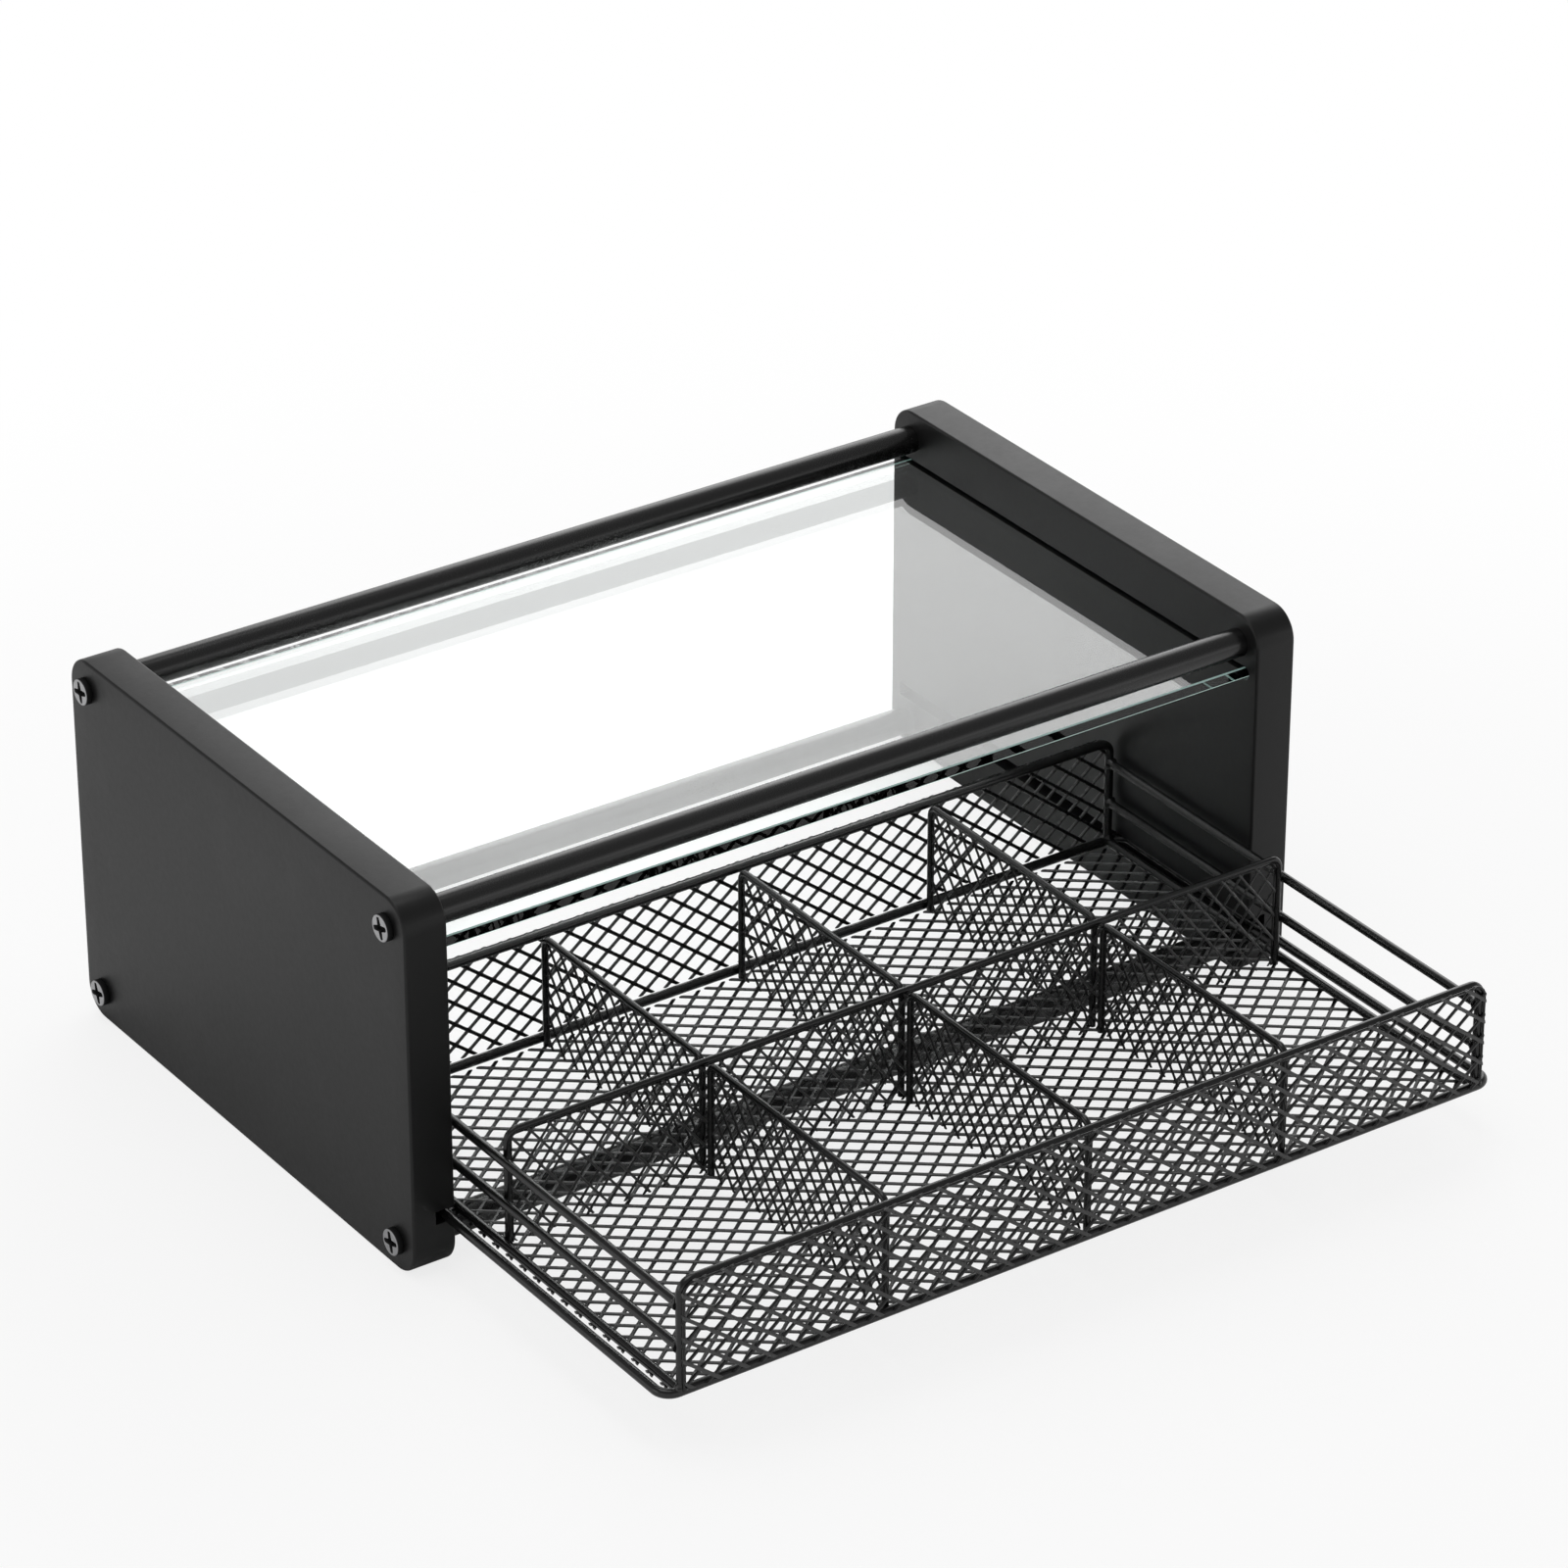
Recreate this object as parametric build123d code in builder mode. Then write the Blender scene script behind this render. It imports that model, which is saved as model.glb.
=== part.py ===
from build123d import *
import os
from math import ceil, hypot

# Tea bag drawer box: two board side panels joined by four tubes, a glass shelf let into the
# panels, and a welded wire basket that slides in and out of two grooves as the drawer.
# Millimetres, +Z up, +X to the right, the drawer opens towards -Y.
# Origin: on the table, under the middle of the whole box with the drawer as shown at rest.

os.makedirs("parts", exist_ok=True)

# Cabinet
width = 334.0                # over the outer faces of the two side panels
depth = 200.0                # of a side panel, front to back
height = 130.0
panel_thickness = 15.0
panel_corner_radius = 10.0
panel_edge_round = 0.9

# Tubes between the panels, one near each panel corner
bar_diameter = 9.5
bar_wall = 1.2
bar_inset = 10.0             # tube axis from the panel's edges
plug_length = 16.0           # threaded plug pressed into each tube end
plug_fit = 0.03              # radial

# Pan head screws, one through the panel into each plug
screw_diameter = 4.0
screw_reach = 12.0           # into the plug
screw_clearance = 0.25       # radial, in the panel
thread_fit = 0.03            # radial, in the plug
head_diameter = 8.8
head_height = 2.4
head_bevel = 1.0
recess_span = 4.8            # cross recess, tip to tip
recess_slot = 1.1
recess_depth = 1.3

# Glass shelf in stopped grooves
glass_thickness = 4.0
glass_drop = 18.0            # top of the panels down to the glass
glass_setback = 7.0          # from the front and back edges of the panels
glass_corner_radius = 2.0
glass_chamfer = 0.4
glass_let_in = 6.0           # how far each end reaches into its panel
glass_end_gap = 0.6          # between glass and groove, behind it and at its ends
glass_top_gap = 0.6

# Drawer, a welded basket of wire and expanded mesh
drawer_out = 121.0           # how far the drawer stands open at rest
drawer_lift = 2.25           # its floor above the bottom tubes
runner_wire = 3.2            # base loop, whose two sides run in the grooves
frame_wire = 3.0             # front and back hoops
rail_wire = 3.0              # side rails
divider_wire = 2.2
runner_overhang = 3.0        # runner axis outside the panel's inner face
runner_corner = 5.0          # bend radius of the loop, at the wire's axis
side_gap = 1.4               # basket side to panel
basket_height = 37.4         # base loop axis to top wire axis
hoop_corner = 4.2            # bend radius of the hoops, at the wire's axis
top_rail_drop = 7.9          # top wire axis down to the top rail of a side
front_row = 97.0             # front wire axis to the cross divider
columns = 4                  # compartments side by side
divider_corner = 3.4         # bend radius of the divider hoops
weld_gap = 0.02              # hairline at each weld, so that no two pieces share volume

# Grooves for the runners, open at the front edge of the panels
runner_gap = 0.3             # under the runner
runner_play = 1.1            # over it
runner_side_play = 2.4       # beside it
groove_stop = 5.0            # solid board left behind the groove
stop_gap = 0.5               # closed drawer to the end of its groove

# Expanded mesh. The front and the back have every strand. In the floor and the dividers only
# every third one is cut, at its real width.
mesh_thickness = 1.0
mesh_strand = 1.2
mesh_long = 9.6              # pitch the long way of the diamonds
mesh_short = 7.6             # pitch the short way
floor_step = 3
divider_step = 3
mesh_lap = 0.9               # sheet edge past the axis of the wire it is welded to
mesh_selvage = 1.3           # uncut margin along a sheet's edge
least_gap = 4.0              # smallest opening cut, in square millimetres

# Places worked out from the sizes above
inner_half = width / 2 - panel_thickness
overall_depth = depth + drawer_out
cabinet_rear = overall_depth / 2
cabinet_front = cabinet_rear - depth
cabinet_middle = (cabinet_front + cabinet_rear) / 2

bar_low = bar_inset
bar_high = height - bar_inset
bar_front = cabinet_front + bar_inset
bar_rear = cabinet_rear - bar_inset

glass_bottom = height - glass_drop - glass_thickness
glass_depth = depth - 2 * glass_setback
glass_groove = glass_thickness + glass_top_gap

drawer_face = -overall_depth / 2
front_axis = drawer_face + mesh_thickness + weld_gap + runner_wire / 2
drawer_length = depth - groove_stop - stop_gap - runner_wire / 2 - (front_axis - drawer_face)
rear_axis = front_axis + drawer_length
floor_top = bar_low + bar_diameter / 2 + drawer_lift + mesh_thickness
runner_z = floor_top + weld_gap + runner_wire / 2
runner_x = inner_half + runner_overhang
basket_half = inner_half - side_gap - frame_wire / 2
hoop_top = runner_z + basket_height

groove_floor = runner_z - runner_wire / 2 - runner_gap
groove_height = runner_gap + runner_wire + runner_play
groove_depth = runner_overhang + runner_wire / 2 + runner_side_play
groove_end = cabinet_rear - groove_stop

low_rail_z = floor_top + weld_gap + rail_wire / 2
top_rail_z = hoop_top - top_rail_drop

divider_y = front_axis + front_row
divider_foot = floor_top + weld_gap
divider_high = hoop_top + frame_wire / 2 - divider_wire / 2
column_width = 2 * basket_half / columns


def save(piece, name):
    piece.part.label = name
    export_step(piece.part, f"parts/{name}.step")


def mirrored(piece):
    with BuildPart() as twin:
        mirror(piece.part, about=Plane.YZ)
    return twin


# Side panels

with BuildPart() as side_panel:
    with BuildSketch(Plane.YZ.offset(inner_half)):
        with Locations((cabinet_middle, height / 2)):
            RectangleRounded(depth, height, panel_corner_radius)
    extrude(amount=panel_thickness)
    fillet(side_panel.faces().filter_by(Axis.X).edges(), panel_edge_round)
    # stopped groove for the glass
    with BuildSketch(Plane.YZ.offset(inner_half)):
        with Locations((cabinet_middle, glass_bottom + glass_groove / 2)):
            SlotCenterToCenter(glass_depth + 2 * glass_end_gap, glass_groove)
    extrude(amount=glass_let_in + glass_end_gap, mode=Mode.SUBTRACT)
    # drawer groove, run out through the front edge
    with BuildSketch(Plane.YZ.offset(inner_half)):
        with Locations(((cabinet_front + groove_end) / 2, groove_floor + groove_height / 2)):
            Rectangle(groove_end - cabinet_front, groove_height)
    extrude(amount=groove_depth, mode=Mode.SUBTRACT)
    # screw holes
    with BuildSketch(Plane.YZ.offset(inner_half)):
        with Locations((cabinet_middle, height / 2)):
            with GridLocations(depth - 2 * bar_inset, height - 2 * bar_inset, 2, 2):
                Circle(screw_diameter / 2 + screw_clearance)
    extrude(amount=panel_thickness, mode=Mode.SUBTRACT)

save(side_panel, "side_panel_right")
save(mirrored(side_panel), "side_panel_left")

# Tubes, their threaded plugs and the screws


def cross_tube(y, z):
    with BuildPart() as tube:
        with BuildSketch(Plane.YZ):
            with Locations((y, z)):
                Circle(bar_diameter / 2)
                Circle(bar_diameter / 2 - bar_wall, mode=Mode.SUBTRACT)
        extrude(amount=inner_half, both=True)
    return tube


save(cross_tube(bar_front, bar_high), "tube_top_front")
save(cross_tube(bar_rear, bar_high), "tube_top_rear")
save(cross_tube(bar_front, bar_low), "tube_bottom_front")
save(cross_tube(bar_rear, bar_low), "tube_bottom_rear")

with BuildPart() as tube_plugs:
    with BuildSketch(Plane.YZ.offset(inner_half)):
        with Locations((cabinet_middle, height / 2)):
            with GridLocations(depth - 2 * bar_inset, height - 2 * bar_inset, 2, 2):
                Circle(bar_diameter / 2 - bar_wall - plug_fit)
                Circle(screw_diameter / 2 + thread_fit, mode=Mode.SUBTRACT)
    extrude(amount=-plug_length)

save(tube_plugs, "tube_plugs_right")
save(mirrored(tube_plugs), "tube_plugs_left")

# One screw, its head on the XY plane and its shank down from there
with BuildPart() as screw:
    with BuildSketch():
        Circle(head_diameter / 2)
    extrude(amount=head_height)
    chamfer(screw.edges().group_by(Axis.Z)[-1], head_bevel)
    with BuildSketch(Plane.XY.offset(head_height)):
        Rectangle(recess_span, recess_slot)
        Rectangle(recess_slot, recess_span)
    extrude(amount=-recess_depth, mode=Mode.SUBTRACT)
    with BuildSketch():
        Circle(screw_diameter / 2)
    extrude(amount=-(panel_thickness + screw_reach))

with BuildPart(Plane.YZ.offset(width / 2)) as screws:
    with Locations((cabinet_middle, height / 2)):
        with GridLocations(depth - 2 * bar_inset, height - 2 * bar_inset, 2, 2):
            add(screw.part)

save(screws, "screws_right")
save(mirrored(screws), "screws_left")

# Glass shelf

with BuildPart() as glass_shelf:
    with BuildSketch(Plane.XY.offset(glass_bottom)):
        with Locations((0, cabinet_middle)):
            RectangleRounded(2 * (inner_half + glass_let_in), glass_depth, glass_corner_radius)
    extrude(amount=glass_thickness)
    chamfer(glass_shelf.faces().filter_by(Axis.Z).edges(), glass_chamfer)

save(glass_shelf, "glass_shelf")

# Wire pieces of the drawer


def bent_wire(corners, bend, diameter, close=False):
    with BuildPart() as wire:
        with BuildLine() as route:
            FilletPolyline(*corners, radius=bend, close=close)
        with BuildSketch(Plane(origin=route.line @ 0, z_dir=route.line % 0)):
            Circle(diameter / 2)
        sweep(path=route.line)
    return wire


runner_loop = bent_wire(
    [
        (-runner_x, front_axis, runner_z),
        (runner_x, front_axis, runner_z),
        (runner_x, rear_axis, runner_z),
        (-runner_x, rear_axis, runner_z),
    ],
    runner_corner,
    runner_wire,
    close=True,
)
save(runner_loop, "runner_loop")


def upright_hoop(start, end, foot_z, top_z, bend, diameter):
    # start and end: the feet in plan
    corners = [(*start, foot_z), (*start, top_z), (*end, top_z), (*end, foot_z)]
    return bent_wire(corners, bend, diameter)


def end_hoop(y):
    # stands on the base loop, its feet cut to sit on the round wire
    feet = (-basket_half, y), (basket_half, y)
    with BuildPart() as frame:
        add(upright_hoop(*feet, runner_z, hoop_top, hoop_corner, frame_wire).part)
        with Locations((0, y, runner_z)):
            Cylinder(
                runner_wire / 2 + weld_gap, 2 * runner_x, rotation=(0, 90, 0), mode=Mode.SUBTRACT
            )
    return frame


save(end_hoop(front_axis), "front_hoop")
save(end_hoop(rear_axis), "rear_hoop")


def side_rail(z):
    # ends cut to fit the hoops and the base loop
    with BuildPart() as rail:
        with BuildSketch(Plane(origin=(basket_half, front_axis, z), z_dir=(0, 1, 0))):
            Circle(rail_wire / 2)
        extrude(amount=drawer_length)
        for y in (front_axis, rear_axis):
            with Locations((basket_half, y, z)):
                Cylinder(frame_wire / 2 + weld_gap, 2 * frame_wire, mode=Mode.SUBTRACT)
            with Locations((basket_half, y, runner_z)):
                Cylinder(
                    runner_wire / 2 + weld_gap,
                    2 * frame_wire,
                    rotation=(0, 90, 0),
                    mode=Mode.SUBTRACT,
                )
    return rail


rail_levels = {
    "bottom": low_rail_z,
    "middle": (low_rail_z + top_rail_z) / 2,
    "top": top_rail_z,
}
for level, z in rail_levels.items():
    rail = side_rail(z)
    save(rail, f"side_rail_right_{level}")
    save(mirrored(rail), f"side_rail_left_{level}")

# Expanded mesh sheets


def mesh_sheet(plane, length, rise, pitch_along, pitch_up, corner_radius=0.5):
    # plane: centre of the sheet's back face; length along its x, rise along its y
    half_along = pitch_along / 2
    half_up = pitch_up / 2
    to_strand = half_along * half_up / hypot(half_along, half_up)
    shrink = (to_strand - mesh_strand / 2) / to_strand
    gap_along = half_along * shrink
    gap_up = half_up * shrink
    across = ceil(length / pitch_along)
    up = ceil(rise / pitch_up)
    with BuildSketch() as gaps:
        for extra in (0, 1):
            with GridLocations(pitch_along, pitch_up, across + extra, up + extra):
                Polygon((gap_along, 0), (0, gap_up), (-gap_along, 0), (0, -gap_up))
        Rectangle(length - 2 * mesh_selvage, rise - 2 * mesh_selvage, mode=Mode.INTERSECT)
    cut = [gap for gap in gaps.sketch.faces() if gap.area > least_gap]
    with BuildPart() as sheet:
        with BuildSketch(plane):
            RectangleRounded(length, rise, corner_radius)
            add(cut, mode=Mode.SUBTRACT)
        extrude(amount=mesh_thickness)
    return sheet


def end_mesh(y, outwards):
    # on the outer side of a hoop and of the base loop
    back = y + outwards * (runner_wire / 2 + weld_gap)
    middle = (runner_z + hoop_top) / 2
    plane = Plane(origin=(0, back, middle), x_dir=(-outwards, 0, 0), z_dir=(0, outwards, 0))
    length = 2 * (basket_half + mesh_lap)
    return mesh_sheet(plane, length, basket_height + 2 * mesh_lap, mesh_long, mesh_short)


save(end_mesh(front_axis, -1), "front_mesh")
save(end_mesh(rear_axis, 1), "rear_mesh")

floor_mesh = mesh_sheet(
    Plane(origin=(0, (front_axis + rear_axis) / 2, floor_top), x_dir=(1, 0, 0), z_dir=(0, 0, -1)),
    2 * (basket_half + rail_wire / 2 + mesh_lap),
    drawer_length + 2 * mesh_lap,
    floor_step * mesh_long,
    floor_step * mesh_short,
)
save(floor_mesh, "floor_mesh")

# Dividers: wire hoops that stand on the floor mesh, filled with mesh


def divider_mesh(start, end):
    # a sheet across the hoop's opening, its long diamonds upright
    along = Vector(end[0] - start[0], end[1] - start[1], 0)
    edge = divider_wire / 2 + weld_gap
    low = divider_foot + weld_gap
    high = divider_high - edge
    middle = ((start[0] + end[0]) / 2, (start[1] + end[1]) / 2, (low + high) / 2)
    upright = Plane(origin=middle, x_dir=along, z_dir=along.cross(Vector(0, 0, 1)))
    return mesh_sheet(
        upright.offset(-mesh_thickness / 2),
        along.length - 2 * edge,
        high - low,
        divider_step * mesh_short,
        divider_step * mesh_long,
        divider_corner - edge,
    )


def save_divider(start, end, name):
    hoop = upright_hoop(start, end, divider_foot, divider_high, divider_corner, divider_wire)
    save(hoop, f"{name}_frame")
    save(divider_mesh(start, end), f"{name}_mesh")


cross_half = basket_half - rail_wire / 2 - weld_gap - divider_wire / 2
save_divider((-cross_half, divider_y), (cross_half, divider_y), "cross_divider")

from_base = runner_wire / 2 + weld_gap + divider_wire / 2
from_cross = divider_wire + weld_gap
for number in range(1, columns):
    x = -basket_half + number * column_width
    save_divider(
        (x, front_axis + from_base), (x, divider_y - from_cross), f"front_divider_{number}"
    )
    save_divider((x, divider_y + from_cross), (x, rear_axis - from_base), f"rear_divider_{number}")
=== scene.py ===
import math

import bmesh
import bpy
from mathutils import Matrix, Vector


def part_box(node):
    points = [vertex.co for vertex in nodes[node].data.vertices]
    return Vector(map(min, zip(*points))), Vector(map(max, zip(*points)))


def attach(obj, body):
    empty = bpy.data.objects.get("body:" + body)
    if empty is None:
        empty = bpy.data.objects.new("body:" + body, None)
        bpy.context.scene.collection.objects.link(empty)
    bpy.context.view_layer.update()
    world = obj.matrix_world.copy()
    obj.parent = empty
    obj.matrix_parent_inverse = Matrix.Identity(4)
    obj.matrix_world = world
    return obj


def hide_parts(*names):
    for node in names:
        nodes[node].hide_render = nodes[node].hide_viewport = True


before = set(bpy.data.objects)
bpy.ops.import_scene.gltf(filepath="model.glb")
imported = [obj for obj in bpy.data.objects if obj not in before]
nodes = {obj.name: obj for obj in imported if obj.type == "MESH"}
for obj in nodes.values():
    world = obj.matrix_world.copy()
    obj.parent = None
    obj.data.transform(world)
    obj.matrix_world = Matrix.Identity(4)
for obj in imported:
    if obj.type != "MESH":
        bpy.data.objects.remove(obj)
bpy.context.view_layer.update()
mm = 0.001

# camera, read off the panel corners of the photograph
cameraSetup = {
    "place": (-1.03915, -1.50090, 1.10811),
    "aim": (0.1029, 0.1540, 0.0),
    "lens": 153.2,
    "shift": (-0.0009, 0.0006),
}
camera = bpy.data.objects.new("camera", bpy.data.cameras.new("camera"))
bpy.context.scene.collection.objects.link(camera)
camera.location = cameraSetup["place"]
lookAlong = Vector(cameraSetup["aim"]) - camera.location
camera.rotation_euler = lookAlong.to_track_quat("-Z", "Y").to_euler()
camera.data.lens = cameraSetup["lens"]
camera.data.sensor_width = 36
camera.data.shift_x, camera.data.shift_y = cameraSetup["shift"]
camera.data.clip_start, camera.data.clip_end = 0.05, 60
bpy.context.scene.camera = camera
bpy.context.scene.view_settings.view_transform = "Standard"
print("camera set")


class Flow:  # a socket's output; + - * / on it add Math nodes
    def __init__(self, paint, socket):
        self.paint, self.socket = paint, socket

    def maths(self, operation, first, second):
        return self.paint.node("ShaderNodeMath", {"operation": operation}, {0: first, 1: second})

    def __add__(self, other):
        return self.maths("ADD", self, other)

    def __sub__(self, other):
        return self.maths("SUBTRACT", self, other)

    def __rsub__(self, other):
        return self.maths("SUBTRACT", other, self)

    def __mul__(self, other):
        return self.maths("MULTIPLY", self, other)

    def __truediv__(self, other):
        return self.maths("DIVIDE", self, other)

    def __rtruediv__(self, other):
        return self.maths("DIVIDE", other, self)

    __radd__, __rmul__ = __add__, __mul__

    def most(self, other):
        return self.maths("MAXIMUM", self, other)


class Paint:  # one material's node tree
    def __init__(self, owner):
        owner.use_nodes = True
        self.owner, self.tree = owner, owner.node_tree
        self.tree.nodes.clear()

    def node(self, kind, settings=None, sockets=None, out=0):
        made = self.tree.nodes.new(kind)
        for key, value in (settings or {}).items():
            setattr(made, key, value)
        for key, value in (sockets or {}).items():
            if isinstance(value, Flow):
                self.tree.links.new(value.socket, made.inputs[key])
            else:
                made.inputs[key].default_value = value
        return Flow(self, made.outputs[out])

    def blendColours(self, factor, first, second):
        sockets = {0: factor, 6: first, 7: second}
        return self.node("ShaderNodeMix", {"data_type": "RGBA"}, sockets, 2)

    def stretched(self, amounts):
        where = self.node("ShaderNodeTexCoord", out=3)
        return self.node("ShaderNodeVectorMath", {"operation": "MULTIPLY"}, {0: where, 1: amounts})

    def noise(self, scale, detail=2, rough=0.5, where=None):
        where = where or self.node("ShaderNodeTexCoord", out=3)
        sockets = {"Vector": where, "Scale": scale, "Detail": detail, "Roughness": rough}
        return self.node("ShaderNodeTexNoise", {}, sockets)

    def stepUp(self, value, low, high):
        settings = {"interpolation_type": "SMOOTHSTEP"}
        return self.node("ShaderNodeMapRange", settings, {0: value, 1: low, 2: high})

    def bump(self, height, strength, distance, under=None):
        sockets = {"Strength": strength, "Distance": distance, "Height": height}
        if under:
            sockets["Normal"] = under
        return self.node("ShaderNodeBump", {}, sockets)

    def surface(self, sockets):
        return self.node("ShaderNodeBsdfPrincipled", {}, sockets)

    def done(self, shader, volume=None):
        sockets = {"Surface": shader}
        if volume:
            sockets["Volume"] = volume
        kinds = {bpy.types.World: "World", bpy.types.Light: "Light"}
        matching = [word for owner, word in kinds.items() if isinstance(self.owner, owner)]
        kind = matching[0] if matching else "Material"
        made = self.tree.nodes.new("ShaderNodeOutput" + kind)
        for key, value in sockets.items():
            self.tree.links.new(value.socket, made.inputs[key])
        return self.owner


def grey(level):
    return (level, level, level, 1)


def coated(paint, colour, rough, gloss, skin):
    sockets = {"Base Color": colour, "Roughness": rough, "Specular IOR Level": gloss, "Normal": skin}
    return paint.done(paint.surface(sockets))


# In each finish a Scale is a noise's, a Rough says how far that noise moves the roughness,
# and a Bump is a strength and a depth in metres

# satin black lacquer on board
boardFinish = {
    "dark": 0.0035,
    "light": 0.006,
    "sheen": 0.42,
    "gloss": 0.32,
    "cloudScale": 9,
    "cloudRough": 0.06,
    "fineScale": 420,
    "fineRough": 0.09,
    "fineBump": (0.05, 0.0004),
    "peelScale": 1500,
    "peelBump": (0.05, 0.0002),
    "handledScale": 24,
    "handledRange": (0.5, 0.78),
    "handledRough": 0.035,
}


def boardPaint(name):
    finish = boardFinish
    paint = Paint(bpy.data.materials.new(name))
    clouds = paint.noise(finish["cloudScale"], 3)
    fine = paint.noise(finish["fineScale"], 3, 0.6)
    peel = paint.noise(finish["peelScale"], 2)
    handled = paint.stepUp(paint.noise(finish["handledScale"], 4, 0.62), *finish["handledRange"])
    colour = paint.blendColours(clouds, grey(finish["dark"]), grey(finish["light"]))
    rough = finish["sheen"] + (clouds - 0.5) * finish["cloudRough"]
    rough = rough + (fine - 0.5) * finish["fineRough"] - handled * finish["handledRough"]
    skin = paint.bump(peel, *finish["peelBump"], paint.bump(fine, *finish["fineBump"]))
    return coated(paint, colour, rough, finish["gloss"], skin)


# powder coat on the tubes
tubeFinish = {
    "dark": 0.003,
    "light": 0.0055,
    "sheen": 0.26,
    "gloss": 0.6,
    "cloudScale": 16,
    "cloudRough": 0.08,
    "orangeScale": 900,
    "orangeBump": (0.06, 0.0003),
    "dustScale": 2600,
    "dustRough": 0.06,
}


def tubePaint(name):
    finish = tubeFinish
    paint = Paint(bpy.data.materials.new(name))
    clouds = paint.noise(finish["cloudScale"], 2)
    orange = paint.noise(finish["orangeScale"], 2)
    dust = paint.noise(finish["dustScale"], 1)
    colour = paint.blendColours(clouds, grey(finish["dark"]), grey(finish["light"]))
    rough = finish["sheen"] + (clouds - 0.5) * finish["cloudRough"] + (dust - 0.5) * finish["dustRough"]
    skin = paint.bump(orange, *finish["orangeBump"])
    return coated(paint, colour, rough, finish["gloss"], skin)


# dipped black coat on wire and on mesh strands, with a painted sheen: a lighter grey on the falling
# strands
wireFinish = {
    "wire": {"dark": 0.003, "light": 0.006, "sheen": 0.22, "gloss": 0.5},
    "mesh": {"dark": 0.003, "light": 0.006, "sheen": 0.28, "gloss": 0.36, "worn": 0.055},
}
wireTexture = {
    "cloudScale": 45,
    "cloudRough": 0.1,
    "runScale": 700,
    "runRough": 0.12,
    "runBump": (0.12, 0.0004),
    "paintedSheenShare": (0.75, 0.5),    # of the painted sheen's grey on the forward strands, and what clouds add
}


def wirePaint(name, kind):
    finish, texture = wireFinish[kind], wireTexture
    paint = Paint(bpy.data.materials.new(name))
    clouds = paint.noise(texture["cloudScale"], 2)
    runs = paint.noise(texture["runScale"], 3, 0.6)
    colour = paint.blendColours(clouds, grey(finish["dark"]), grey(finish["light"]))
    # painted sheen: the falling strands get a lighter grey in place of the light they reflect
    if kind == "mesh":
        least, added = texture["paintedSheenShare"]
        proud = paint.node("ShaderNodeAttribute", {"attribute_name": "proud"}, out=2)
        colour = paint.blendColours(proud * (least + clouds * added), colour, grey(finish["worn"]))
    rough = finish["sheen"] + (clouds - 0.5) * texture["cloudRough"] + (runs - 0.5) * texture["runRough"]
    skin = paint.bump(runs, *texture["runBump"])
    return coated(paint, colour, rough, finish["gloss"], skin)


# bright steel, lightly turned, with painted shade: black in its recesses and on its sides
steelFinish = {
    "dull": (0.33, 0.33, 0.335, 1),
    "clean": (0.52, 0.52, 0.53, 1),
    "paintedShade": grey(0.004),
    "sheen": 0.42,
    "gloss": 0.12,
    "streakScale": 90,
    "streakStretch": (6.0, 1.0, 14.0),
    "streakShare": 0.6,
    "streakBump": (0.12, 0.0001),
    "spotScale": 900,
    "spotRough": 0.2,
    "paintedShadeRough": 0.3,
}


def steelPaint(name, recessDark):
    finish = steelFinish
    paint = Paint(bpy.data.materials.new(name))
    streaks = paint.noise(finish["streakScale"], 3, 0.6, paint.stretched(finish["streakStretch"]))
    spots = paint.noise(finish["spotScale"], 4, 0.65)
    mixed = streaks * finish["streakShare"] + spots * (1 - finish["streakShare"])
    colour = paint.blendColours(mixed, finish["dull"], finish["clean"])
    metal = 1.0
    rough = finish["sheen"] + (spots - 0.5) * finish["spotRough"]
    # painted shade: black down in the cross recess, on the head's side and at its foot
    if recessDark:
        paintedShade = paint.node("ShaderNodeAttribute", {"attribute_name": "paintedShade"}, out=2)
        colour = paint.blendColours(paintedShade, colour, finish["paintedShade"])
        metal = 1 - paintedShade
        rough = rough + paintedShade * finish["paintedShadeRough"]
    sockets = {
        "Base Color": colour,
        "Metallic": metal,
        "Roughness": rough,
        "Specular IOR Level": finish["gloss"],
        "Normal": paint.bump(streaks, *finish["streakBump"]),
    }
    return paint.done(paint.surface(sockets))


# clear float glass, pale green through its length
glassFinish = {
    "clear": (0.985, 1.0, 0.995, 1),
    "smeared": (0.97, 0.99, 0.985, 1),
    "smearScale": 14,
    "smearRange": (0.45, 0.8),
    "tint": (0.62, 0.96, 0.86, 1),
    "depth": 2.2,
    "bend": 1.5,
    "shadow": (0.93, 0.97, 0.95, 1),    # light that passes on to what lies below
    "ground": (0.62, 0.88, 0.82, 1),    # the ground chamfers and edges
    "groundPale": (0.8, 0.97, 0.93, 1),
    "groundShare": 0.7,
    "groundRough": (0.35, 0.2),
    "gritScale": 1800,
    "gritBump": (0.3, 0.0001),
    "edgeOn": (0.25, 0.4),              # a chamfer's tilt lies between these two ranges
    "edgeOff": (0.9, 0.97),
    "glow": 1.0,
    "glowUnder": (0.75, 1.0, 0.93, 1),  # painted glow, as emission: light led out through the lower and the upper chamfer
    "glowOver": (0.05, 0.1, 0.09, 1),
}


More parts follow.
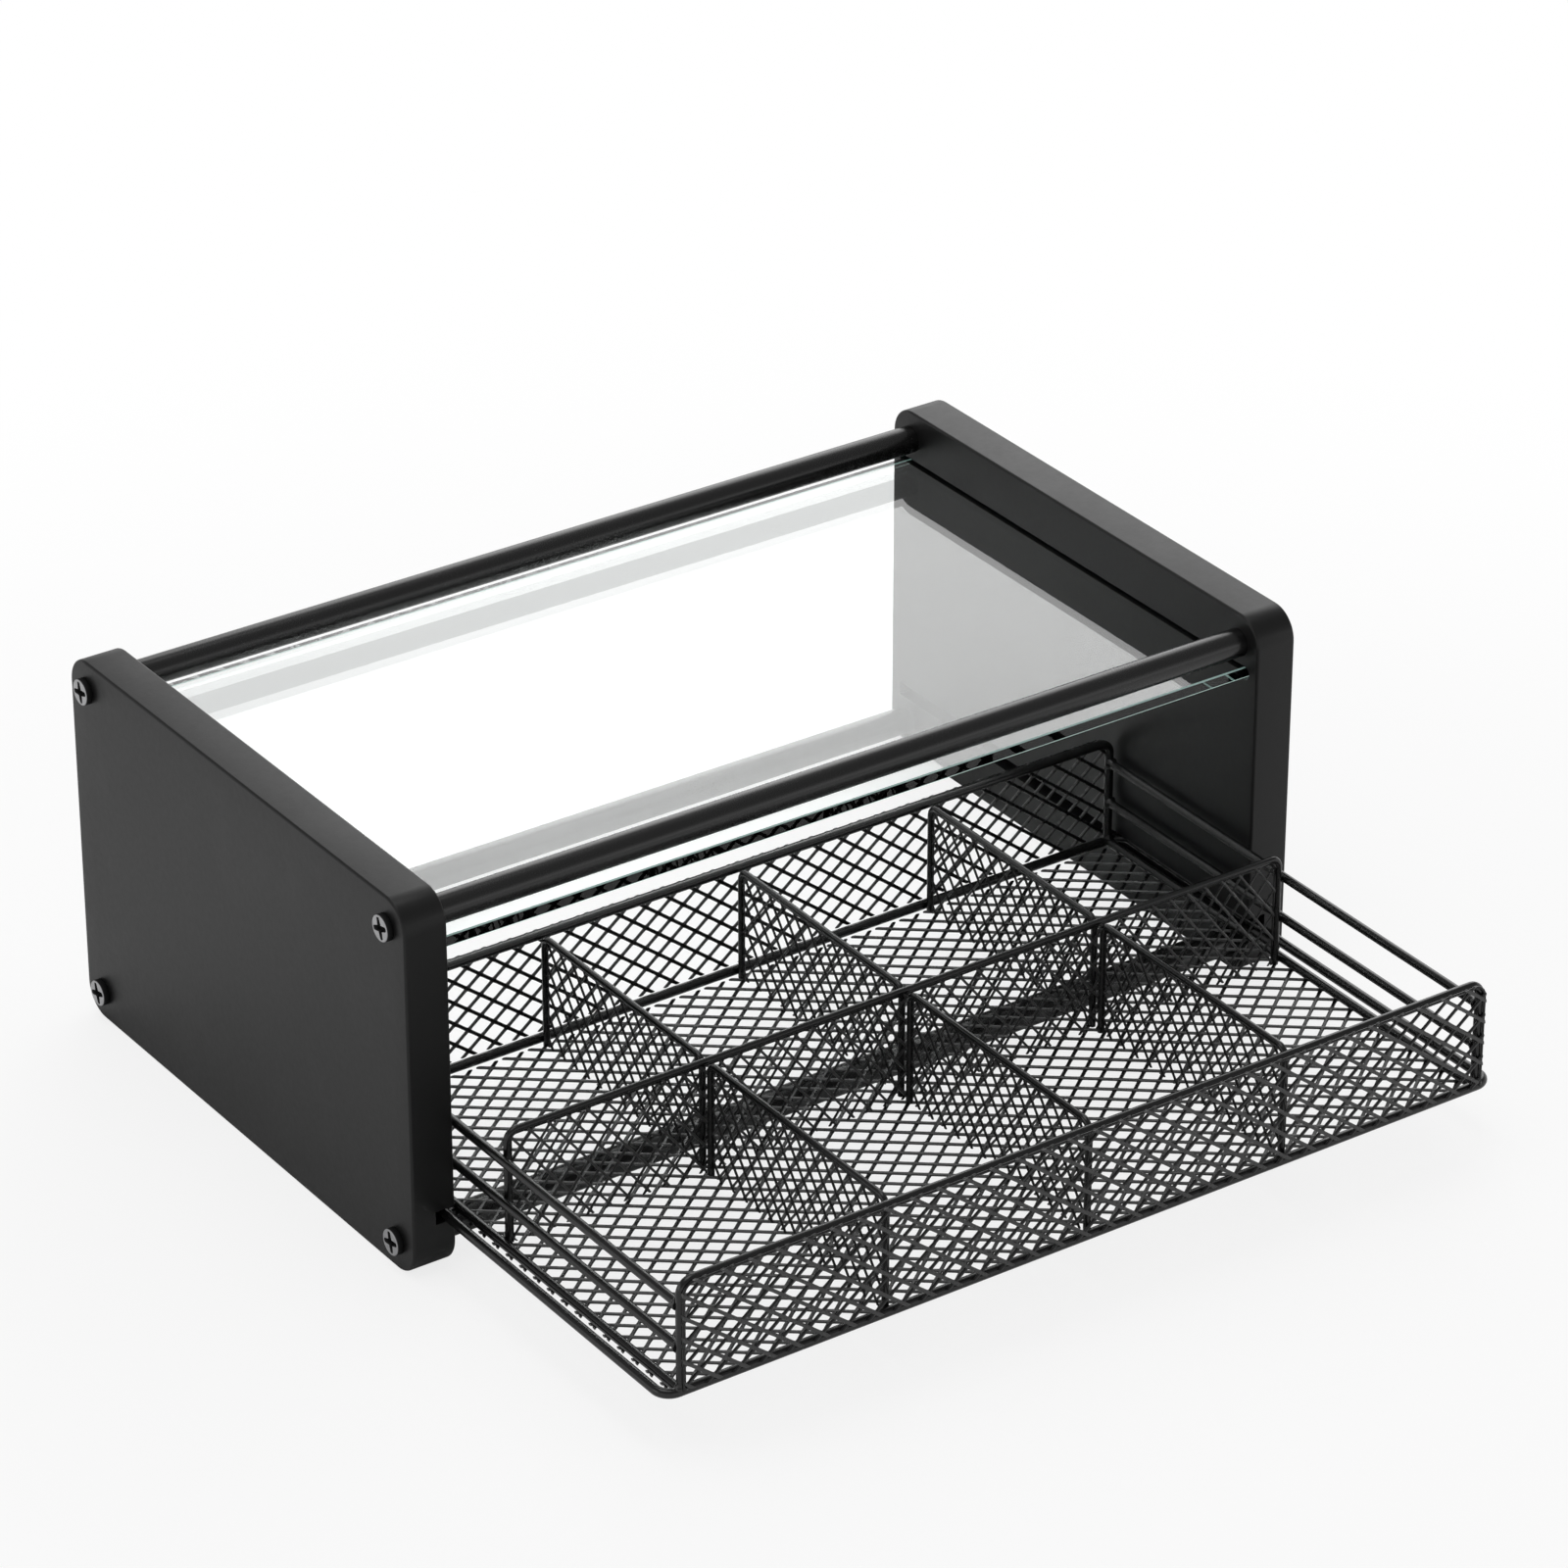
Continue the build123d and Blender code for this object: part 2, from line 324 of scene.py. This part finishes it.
def glassPaint(name):
    finish = glassFinish
    paint = Paint(bpy.data.materials.new(name))
    smears = paint.stepUp(paint.noise(finish["smearScale"], 3, 0.55), *finish["smearRange"])
    body = paint.surface(
        {
            "Base Color": paint.blendColours(smears, finish["clear"], finish["smeared"]),
            "Roughness": 0.0,
            "Transmission Weight": 1.0,
            "IOR": finish["bend"],
        }
    )
    normal = paint.node("ShaderNodeNewGeometry", out=1)
    facing = paint.node("ShaderNodeSeparateXYZ", {}, {0: normal}, 2)
    lying = paint.node("ShaderNodeMath", {"operation": "ABSOLUTE"}, {0: facing})
    chamfer = paint.stepUp(lying, *finish["edgeOn"]) * (1 - paint.stepUp(lying, *finish["edgeOff"]))
    upper = paint.stepUp(facing, -0.2, 0.2)
    grit = paint.noise(finish["gritScale"], 2)
    smoothest, rougher = finish["groundRough"]
    # the ground chamfers, with a painted glow as emission, brighter on the lower chamfer
    frost = paint.surface(
        {
            "Base Color": paint.blendColours(grit, finish["ground"], finish["groundPale"]),
            "Roughness": smoothest + grit * rougher,
            "Normal": paint.bump(grit, *finish["gritBump"]),
            "Emission Color": paint.blendColours(upper, finish["glowUnder"], finish["glowOver"]),
            "Emission Strength": finish["glow"],
        }
    )
    share = chamfer * finish["groundShare"]
    body = paint.node("ShaderNodeMixShader", {}, {0: share, 1: body, 2: frost})
    light = paint.node("ShaderNodeLightPath", out=1)
    through = paint.node("ShaderNodeBsdfTransparent", {}, {"Color": finish["shadow"]})
    whole = paint.node("ShaderNodeMixShader", {}, {0: light, 1: body, 2: through})
    sockets = {"Color": finish["tint"], "Density": finish["depth"]}
    return paint.done(whole, paint.node("ShaderNodeVolumeAbsorption", {}, sockets))


finishes = {
    "board_black": boardPaint("boardBlack"),
    "tube_black": tubePaint("tubeBlack"),
    "wire_black": wirePaint("wireBlack", "wire"),
    "mesh_black": wirePaint("meshBlack", "mesh"),
    "screw_steel": steelPaint("screwSteel", True),
    "insert_steel": steelPaint("insertSteel", False),
    "shelf_glass": glassPaint("shelfGlass"),
}
nodeFinish = {
    "side_panel": "board_black",
    "tube_top": "tube_black",
    "tube_bottom": "tube_black",
    "tube_plugs": "insert_steel",
    "screws": "screw_steel",
    "glass": "shelf_glass",
    "runner": "wire_black",
    "front_hoop": "wire_black",
    "rear_hoop": "wire_black",
    "side_rail": "wire_black",
}
edgeSetup = {"join": 0.002 * mm, "sharp": 24}    # degrees
for nodeName, node in nodes.items():
    found = [slot for start, slot in nodeFinish.items() if nodeName.startswith(start)]
    slotName = found[0] if found else ("mesh_black" if nodeName.endswith("_mesh") else "wire_black")
    if not node.material_slots:
        node.data.materials.append(finishes[slotName])
    for place in node.material_slots:
        place.material = finishes[slotName]
    weld = node.modifiers.new("joinCorners", "WELD")
    weld.merge_threshold = edgeSetup["join"]
    node.data.shade_smooth()
    sharpen = node.modifiers.new("keepEdges", "EDGE_SPLIT")
    sharpen.split_angle = math.radians(edgeSetup["sharp"])
    sharpen.use_edge_sharp = False
print("finishes made:", len(finishes))


def newPiece(name, mesh, body, slotName, *stands):
    made = bpy.data.meshes.new(name)
    bmesh.ops.recalc_face_normals(mesh, faces=mesh.faces)
    mesh.to_mesh(made)
    mesh.free()
    piece = bpy.data.objects.new(name, made)
    bpy.context.scene.collection.objects.link(piece)
    made.materials.append(finishes[slotName])
    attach(piece, body)
    if stands:
        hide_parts(*stands)
    return piece


# Expanded mesh: two families of flattened strands, the rising ones behind the falling ones

strandSetup = {
    "wide": 1.15 * mm,
    "thick": 0.86 * mm,
    "corner": 0.26 * mm,
    "proud": 0.14 * mm,        # falling strands in front of the rising ones
    "rim": 0.8 * mm,           # uncut strip round the sheet
    "rimThick": 0.8,           # of a strand's thickness
    "rimCorner": 0.28,         # of the strip's smaller side
    "knot": 0.22 * mm,         # extra width where strands meet
    "knotLong": 1.5 * mm,
    "tilt": 14,                # degrees: falling strands face up a little, rising ones down
    "least": 2.2,              # shortest strand kept, in widths
}


def roundedEdge(along, up, radius, steps=4):
    # half planes (direction, distance) that together bound a rounded rectangle about its middle
    planes = [((1, 0), along / 2), ((-1, 0), along / 2), ((0, 1), up / 2), ((0, -1), up / 2)]
    for sideways in (-1, 1):
        for upward in (-1, 1):
            for step in range(1, steps):
                turn = math.pi / 2 * step / steps
                way = (sideways * math.cos(turn), upward * math.sin(turn))
                middle = (sideways * (along / 2 - radius), upward * (up / 2 - radius))
                planes.append((way, way[0] * middle[0] + way[1] * middle[1] + radius))
    return planes


def reach(point, way, planes):
    # where a straight line enters and leaves the outline
    low, high = -9.0, 9.0
    for (across, upward), limit in planes:
        speed = across * way[0] + upward * way[1]
        room = limit - across * point[0] - upward * point[1]
        if abs(speed) < 1e-9:
            if room < 0:
                return None
        elif speed > 0:
            high = min(high, room / speed)
        else:
            low = max(low, room / speed)
    return (low, high) if high > low else None


def addBar(mesh, place, rings, layer=None, tone=0.0):
    # rings of points in the sheet's own (along, up, out) directions, closed at both ends
    made = [[mesh.verts.new(place @ Vector(point)) for point in ring] for ring in rings]
    if layer:
        for vert in [vert for ring in made for vert in ring]:
            vert[layer] = tone
    count = len(made[0])
    for first, second in zip(made, made[1:]):
        for turn in range(count):
            after = (turn + 1) % count
            mesh.faces.new((first[turn], first[after], second[after], second[turn]))
    mesh.faces.new(made[0])
    mesh.faces.new(list(reversed(made[-1])))


def profile(wide, thick, corner):
    # a bar's section, as eight points from its lower left side on
    w, t, c = wide / 2, thick / 2, corner
    left = [(-w, -t + c), (-w, t - c), (-w + c, t)]
    right = [(w - c, t), (w, t - c), (w, -t + c)]
    return left + right + [(w - c, -t), (-w + c, -t)]


def addStrands(mesh, place, size, sheet, setup, shiftUp=0.0):
    # size is along and up, sheet has the pitches and the corner radius, setup has one strand's form
    along, up = size
    pitchAlong, pitchUp = sheet["pitchAlong"], sheet["pitchUp"]
    planes = roundedEdge(along, up, sheet["radius"])
    layer = mesh.verts.layers.float.get("proud") or mesh.verts.layers.float.new("proud")
    count = int((along + up * pitchAlong / pitchUp) / pitchAlong / 2) + 2
    length = math.hypot(pitchAlong, pitchUp)
    half = length / 2
    for slope, lift in ((1, -0.5), (-1, 0.5)):
        way = (pitchAlong / length, slope * pitchUp / length)
        side = (-way[1], way[0])
        lean = math.radians(-slope * setup["tilt"])
        shape = [
            (
                across * math.cos(lean) + out * math.sin(lean),
                out * math.cos(lean) - across * math.sin(lean),
            )
            for across, out in profile(setup["wide"], setup["thick"], setup["corner"])
        ]
        for number in range(-count, count + 1):
            start = (number * pitchAlong, shiftUp)
            middle = reach(start, way, planes)
            if not middle or middle[1] - middle[0] < setup["least"] * setup["wide"]:
                continue
            ends = []
            for across, out in shape:
                point = (start[0] + side[0] * across, start[1] + side[1] * across)
                found = reach(point, way, planes)
                if found:
                    ends.append(found)
                else:
                    least = (middle[0] + middle[1]) / 2
                    ends.append((least - 1e-5, least + 1e-5))
            first = max(end[0] for end in ends)
            last = min(end[1] for end in ends)
            cuts = []
            knot = math.ceil(first / half)
            while knot * half < last:
                for nudge, swell in ((-1.0, 0.0), (-0.4, 1.0), (0.4, 1.0), (1.0, 0.0)):
                    spot = knot * half + nudge * setup["knotLong"]
                    if first + 1e-5 < spot < last - 1e-5:
                        cuts.append((spot, swell))
                knot += 1
            rings = [[end[0] for end in ends]]
            rings += [[spot] * len(shape) for spot, swell in cuts]
            rings += [[end[1] for end in ends]]
            swells = [0.0] + [swell for spot, swell in cuts] + [0.0]
            bar = []
            for stations, swell in zip(rings, swells):
                ring = []
                for (across, out), spot in zip(shape, stations):
                    wider = across * (1 + swell * setup["knot"] / setup["wide"])
                    ring.append(
                        (
                            start[0] + way[0] * spot + side[0] * wider,
                            start[1] + way[1] * spot + side[1] * wider,
                            out + lift * setup["proud"],
                        )
                    )
                bar.append(ring)
            addBar(mesh, place, bar, layer, 1.0 if slope < 0 else 0.0)


def addRim(mesh, place, size, radius, setup, steps=5):
    # the uncut strip: up one side, over the top and down the other
    along, up = size
    wide, thick = setup["rim"], setup["thick"] * setup["rimThick"]
    shape = profile(wide, thick, min(wide, thick) * setup["rimCorner"])
    spots = [(1, -up / 2, 0.0)]
    spots += [(1, up / 2 - radius, math.pi / 2 * step / steps) for step in range(steps + 1)]
    spots += [(-1, up / 2 - radius, math.pi / 2 * (1 + step / steps)) for step in range(steps + 1)]
    spots += [(-1, -up / 2, math.pi)]
    rings = []
    for sideways, height, turn in spots:
        ring = []
        for across, out in shape:
            distance = radius - wide / 2 + across
            x = sideways * (along / 2 - radius) + math.cos(turn) * distance
            ring.append((x, height + math.sin(turn) * distance, out))
        rings.append(ring)
    addBar(mesh, place, rings)


def sheetPlace(middle, along, out):
    along, out = Vector(along).normalized(), Vector(out).normalized()
    up = out.cross(along)
    rows = [(along[axis], up[axis], out[axis], middle[axis]) for axis in range(3)]
    return Matrix(rows + [(0, 0, 0, 1)])


def middleOf(node):
    low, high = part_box(node)
    return (low + high) / 2, high - low


def smoothPiece(piece, angle=30):
    piece.data.shade_smooth()
    piece.data.set_sharp_from_angle(angle=math.radians(angle))


endMesh = {
    "pitchAlong": 9.57 * mm,
    "pitchUp": 7.57 * mm,
    "radius": 4.6 * mm,
    "crossing": 48.9 * mm,     # height of one row of crossings
    "inset": 0.1 * mm,
    "foot": 20.7 * mm,         # lower edge, on the upper side of the base wire
    "pressed": 0.07 * mm,      # towards the hoop
}
for nodeName, pieceName, outward in (("front_mesh", "frontMesh", -1), ("rear_mesh", "rearMesh", 1)):
    middle, size = middleOf(nodeName)
    top = middle.z + size.z / 2 - endMesh["inset"]
    middle.z = (top + endMesh["foot"]) / 2
    middle.y -= outward * endMesh["pressed"]
    sheet = bmesh.new()
    place = sheetPlace(middle, (-outward, 0, 0), (0, outward, 0))
    extent = (size.x - 2 * endMesh["inset"], top - endMesh["foot"])
    addStrands(sheet, place, extent, endMesh, strandSetup, endMesh["crossing"] - middle.z)
    addRim(sheet, place, extent, endMesh["radius"], strandSetup)
    smoothPiece(newPiece(pieceName, sheet, "drawer", "mesh_black", nodeName))
print("end meshes made")

floorSheet = {
    "pitchAlong": 9.6 * mm,
    "pitchUp": 7.6 * mm,
    "radius": 1.2 * mm,
    "sideTrim": 1.3 * mm,      # the photograph shows a clear gap to the base wire
    "endTrim": 2.3 * mm,       # its ends lie hidden behind the base wire
}
middle, size = middleOf("floor_mesh")
extent = (size.x - 2 * floorSheet["sideTrim"], size.y - 2 * floorSheet["endTrim"])
sheet = bmesh.new()
addStrands(sheet, sheetPlace(middle, (1, 0, 0), (0, 0, 1)), extent, floorSheet, strandSetup)
smoothPiece(newPiece("floorMesh", sheet, "drawer", "mesh_black", "floor_mesh"))
print("floor mesh made")

# the dividers' diamonds stand upright, so their short pitch runs along the sheet
dividerSheet = {"pitchAlong": 6.9 * mm, "pitchUp": 8.9 * mm, "radius": 2.3 * mm}
thinStrand = dict(
    strandSetup, wide=0.78 * mm, thick=0.68 * mm, corner=0.18 * mm, rim=0.7 * mm, knotLong=1.1 * mm
)
rows, columns = ("front", "rear"), (1, 2, 3)
dividerNames = ["cross_divider"] + [f"{row}_divider_{column}" for row in rows for column in columns]
for name in dividerNames:
    middle, size = middleOf(name + "_mesh")
    sheet = bmesh.new()
    if size.x > size.y:
        place = sheetPlace(middle, (1, 0, 0), (0, -1, 0))
    else:
        place = sheetPlace(middle, (0, 1, 0), (1, 0, 0))
    extent = (max(size.x, size.y), size.z)
    addStrands(sheet, place, extent, dividerSheet, thinStrand)
    addRim(sheet, place, extent, dividerSheet["radius"], thinStrand)
    words = name.split("_")
    pieceName = words[0] + "".join(word.capitalize() for word in words[1:]) + "Mesh"
    smoothPiece(newPiece(pieceName, sheet, "drawer", "mesh_black", name + "_mesh"))
print("divider meshes made")

# Screws: flat faced pan heads with a cross recess cut to a taper

screwSetup = {
    "radius": 4.4 * mm,
    "tall": 2.35 * mm,
    "bevel": 0.34 * mm,
    "span": 3.6 * mm,          # tip of an arm from the middle
    "arm": 0.74 * mm,          # half an arm's width
    "deep": 1.8 * mm,
    "turned": {-1: (12, 17, 15, 11), 1: (8, -20, 25, 3)},    # degrees, by side
    "shank": 2.0 * mm,
    "shankLong": 27 * mm,
}


def crossOutline(span, arm):
    # 20 points round a cross with softened tips and inner corners, from the +x arm on
    points = []
    for quarter in range(4):
        turn = math.pi / 2 * quarter
        tip = [(span * 0.9, -arm), (span, -arm * 0.55), (span, arm * 0.55), (span * 0.9, arm)]
        for x, y in tip + [(arm * 1.35, arm * 1.35)]:
            across = x * math.cos(turn) - y * math.sin(turn)
            points.append((across, x * math.sin(turn) + y * math.cos(turn)))
    return points


def addScrew(mesh, layer, place, angle, setup):
    cross = crossOutline(setup["span"], setup["arm"])
    around = len(cross) * 2
    turnBy = math.radians(angle)

    def ring(points, height, paintedShade):
        made = []
        for x, y in points:
            vert = mesh.verts.new(place @ Vector((x, y, height)))
            vert[layer] = paintedShade
            made.append(vert)
        return made

    def turned(points, scale=1.0):
        return [
            (
                (x * math.cos(turnBy) - y * math.sin(turnBy)) * scale,
                (x * math.sin(turnBy) + y * math.cos(turnBy)) * scale,
            )
            for x, y in points
        ]

    def doubled(points):
        made = []
        for number, point in enumerate(points):
            after = points[(number + 1) % len(points)]
            made += [point, ((point[0] + after[0]) / 2, (point[1] + after[1]) / 2)]
        return made

    def circle(radius):
        made = []
        for x, y in turned(doubled(cross)):
            long = math.hypot(x, y)
            made.append((x / long * radius, y / long * radius))
        return made

    def even(radius):
        begin = math.atan2(-setup["arm"], setup["span"] * 0.9) + turnBy
        turns = [begin + math.tau * step / around for step in range(around)]
        return [(radius * math.cos(turn), radius * math.sin(turn)) for turn in turns]

    radius, tall, bevel = setup["radius"], setup["tall"], setup["bevel"]
    # each ring's last number is painted shade: dark at the head's foot, on its side and down in the cross
    rings = [
        ring(even(setup["shank"]), -setup["shankLong"], 0.0),
        ring(even(setup["shank"]), 0.02 * mm, 0.0),
        ring(even(radius * 0.985), 0.02 * mm, 0.95),
        ring(even(radius), 0.12 * mm, 1.0),
        ring(even(radius), tall - bevel, 0.98),
        ring(even(radius - bevel * 0.2), tall - bevel * 0.5, 0.85),
        ring(even(radius - bevel * 0.55), tall - bevel * 0.14, 0.1),
        ring(even(radius - bevel * 1.05), tall, 0.0),
        ring(turned(doubled(cross), 1.03), tall, 0.0),
        ring(turned(doubled(cross), 0.99), tall - 0.08 * mm, 0.95),
        ring(turned(doubled(cross), 0.8), tall - setup["deep"] * 0.7, 1.0),
        ring(turned(doubled(cross), 0.25), tall - setup["deep"], 1.0),
    ]
    for first, second in zip(rings, rings[1:]):
        for number in range(around):
            after = (number + 1) % around
            mesh.faces.new((first[number], first[after], second[after], second[number]))
    mesh.faces.new(rings[0])
    mesh.faces.new(rings[-1])


sides = ((-1, "screws_left", "screwsLeft"), (1, "screws_right", "screwsRight"))
for side, nodeName, pieceName in sides:
    low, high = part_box(nodeName)
    panelLow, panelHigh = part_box("side_panel_left" if side < 0 else "side_panel_right")
    face = panelLow.x if side < 0 else panelHigh.x
    radius = screwSetup["radius"]
    screws = bmesh.new()
    layer = screws.verts.layers.float.new("paintedShade")
    heads = [(y, z) for y in (low.y + radius, high.y - radius) for z in (low.z + radius, high.z - radius)]
    for (y, z), angle in zip(heads, screwSetup["turned"][side]):
        place = sheetPlace(Vector((face, y, z)), (0, side, 0), (side, 0, 0))
        addScrew(screws, layer, place, angle, screwSetup)
    smoothPiece(newPiece(pieceName, screws, "cabinet", "screw_steel", nodeName), 38)
print("screws made")

# Weld beads where wires meet

beadSetup = {
    "flare": 0.75 * mm,
    "long": 1.5 * mm,
    "around": 14,
    "sink": 0.5 * mm,
    "hidden": 0.4 * mm,        # the buried end is this much narrower than the wire
    "seat": 0.25 * mm,         # how deep a bead's foot lies in the wire that it stands on
}


def addCollar(mesh, foot, axis, wireRadius, setup, wobble=0):
    # a small flared bead round a wire that ends on another one
    axis = Vector(axis).normalized()
    side = axis.orthogonal().normalized()
    other = axis.cross(side)
    # height, as metres below the foot and as a share of the length above it, and share of the flare
    levels = [(-setup["sink"], 0.2), (-setup["sink"], 0.9)]
    levels += [(0.0, 1.0), (0.28, 0.62), (0.6, 0.25), (1.0, 0.03)]
    rings = []
    for height, flare in levels:
        lift = height if height < 0 else height * setup["long"]
        inside = setup["hidden"] if flare <= 0.2 and height <= 0 else 0.0
        ring = []
        for step in range(setup["around"]):
            turn = math.tau * step / setup["around"]
            uneven = 1 + 0.16 * math.sin(turn * 3 + wobble * 1.7)
            uneven += 0.1 * math.sin(turn * 5 + wobble)
            radius = wireRadius + setup["flare"] * flare * uneven - inside
            spot = foot + axis * lift + (side * math.cos(turn) + other * math.sin(turn)) * radius
            ring.append(mesh.verts.new(spot))
        rings.append(ring)
    for first, second in zip(rings, rings[1:]):
        for step in range(setup["around"]):
            after = (step + 1) % setup["around"]
            mesh.faces.new((first[step], first[after], second[after], second[step]))
    mesh.faces.new(rings[0])
    mesh.faces.new(rings[-1])


loopLow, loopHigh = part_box("runner_loop")
beads = bmesh.new()
beadCount = 0
for hoopName in ("front_hoop", "rear_hoop"):
    low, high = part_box(hoopName)
    frameHalf = (high.y - low.y) / 2
    y = (low.y + high.y) / 2
    for x, side in ((low.x + frameHalf, -1), (high.x - frameHalf, 1)):
        foot = Vector((x, y, loopHigh.z - beadSetup["seat"]))
        addCollar(beads, foot, (0, 0, 1), frameHalf, beadSetup, beadCount)
        beadCount += 1
        inward = 1 if hoopName == "front_hoop" else -1
        for level in ("middle", "top"):
            railLow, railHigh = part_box(f"side_rail_{'left' if side < 0 else 'right'}_{level}")
            railZ, railHalf = (railLow.z + railHigh.z) / 2, (railHigh.z - railLow.z) / 2
            foot = Vector((x, y + inward * (frameHalf - beadSetup["seat"]), railZ))
            addCollar(beads, foot, (0, inward, 0), railHalf, beadSetup, beadCount)
            beadCount += 1
smoothPiece(newPiece("weldBeads", beads, "drawer", "wire_black"), 50)
print("weld beads made:", beadCount)

# Floor, backdrop and light

stageSetup = {
    "floor": 0.9,
    "grainScale": 60,
    "grainTone": 0.01,
    "lift": 0.8,               # share of the floor that is plain white to the camera
    "fade": (0.3, 0.62),       # from the object's middle to where the floor is all white
    "world": 0.5,
    "horizon": (0.12, 0.45),   # where the white backdrop ends, as the sine of its height
    "dusk": 0.2,               # how much darker the room is above it
}


def stagePaint(name):
    paint = Paint(bpy.data.materials.new(name))
    place = paint.node("ShaderNodeNewGeometry", out=0)
    away = paint.node("ShaderNodeVectorMath", {"operation": "LENGTH"}, {0: place}, 1)
    fade = paint.stepUp(away, *stageSetup["fade"])
    grain = paint.noise(stageSetup["grainScale"], 3)
    darker = grey(stageSetup["floor"] - stageSetup["grainTone"])
    lighter = grey(stageSetup["floor"] + stageSetup["grainTone"])
    cast = paint.node("ShaderNodeLightPath", out=0)
    shade = paint.surface(
        {
            "Base Color": paint.blendColours(grain, darker, lighter),
            "Roughness": 0.85 + grain * 0.1,
            "Specular IOR Level": 0.1,
        }
    )
    white = paint.node("ShaderNodeEmission", {}, {"Color": grey(1.0), "Strength": 1.0})
    share = cast * (stageSetup["lift"] + fade * (1 - stageSetup["lift"]))
    return paint.done(paint.node("ShaderNodeMixShader", {}, {0: share, 1: shade, 2: white}))


floorMade = bmesh.new()
bmesh.ops.create_grid(floorMade, x_segments=12, y_segments=12, size=6)
floorMesh = bpy.data.meshes.new("studioFloor")
floorMade.to_mesh(floorMesh)
floorMade.free()
floor = bpy.data.objects.new("studioFloor", floorMesh)
bpy.context.scene.collection.objects.link(floor)
floorMesh.materials.append(stagePaint("studioFloor"))

world = bpy.data.worlds.new("studio")
bpy.context.scene.world = world
sky = Paint(world)
seen = sky.node("ShaderNodeLightPath", out=0)
mirrored = sky.node("ShaderNodeLightPath", out=3)
through = sky.node("ShaderNodeLightPath", out=6)
height = sky.node("ShaderNodeSeparateXYZ", {}, {0: sky.node("ShaderNodeTexCoord", out=0)}, 2)
above = sky.stepUp(height, *stageSetup["horizon"])
shown = seen.most(through).most(mirrored * (1 - above))
strength = stageSetup["world"] + shown * (1 - stageSetup["world"])
strength = strength - mirrored * above * stageSetup["dusk"]
sky.done(sky.node("ShaderNodeBackground", {}, {"Color": grey(1.0), "Strength": strength}))

# large soft panels: overhead, one behind on the right with a feathered edge, one on the left
lampSetup = {
    "overhead": {"place": (-0.25, 0.25, 2.3), "aim": (0, 0, 0), "size": (1.9, 1.5), "power": 16},
    "behind": {
        "place": (0.95, 0.98, 0.80),
        "aim": (0.16, 0.02, 0.13),
        "size": (1.5, 1.3),
        "power": 13,
        "feather": 0.8,        # share of the half width over which it fades out
    },
    "leftward": {"place": (-2.4, 0.6, 0.9), "aim": (0, 0, 0.05), "size": (1.4, 1.0), "power": 5},
}
for name, setup in lampSetup.items():
    lampData = bpy.data.lights.new(name, "AREA")
    lampData.shape = "RECTANGLE"
    lampData.size, lampData.size_y = setup["size"]
    lampData.energy = setup["power"]
    lamp = bpy.data.objects.new(name, lampData)
    bpy.context.scene.collection.objects.link(lamp)
    lamp.location = setup["place"]
    lamp.visible_camera = False
    if "feather" in setup:
        glow = Paint(lampData)
        spread = glow.node("ShaderNodeNewGeometry", out=5)
        across = glow.node("ShaderNodeSeparateXYZ", {}, {0: spread})
        upward = Flow(glow, across.socket.node.outputs[1])
        edge = glow.stepUp(across * (1 - across) * 4, 0.0, setup["feather"])
        edge = edge * glow.stepUp(upward * (1 - upward) * 4, 0.0, setup["feather"])
        glow.done(glow.node("ShaderNodeEmission", {}, {"Color": grey(1.0), "Strength": edge}))
    lamp.rotation_euler = (Vector(setup["aim"]) - lamp.location).to_track_quat("-Z", "Y").to_euler()
print("stage lit")
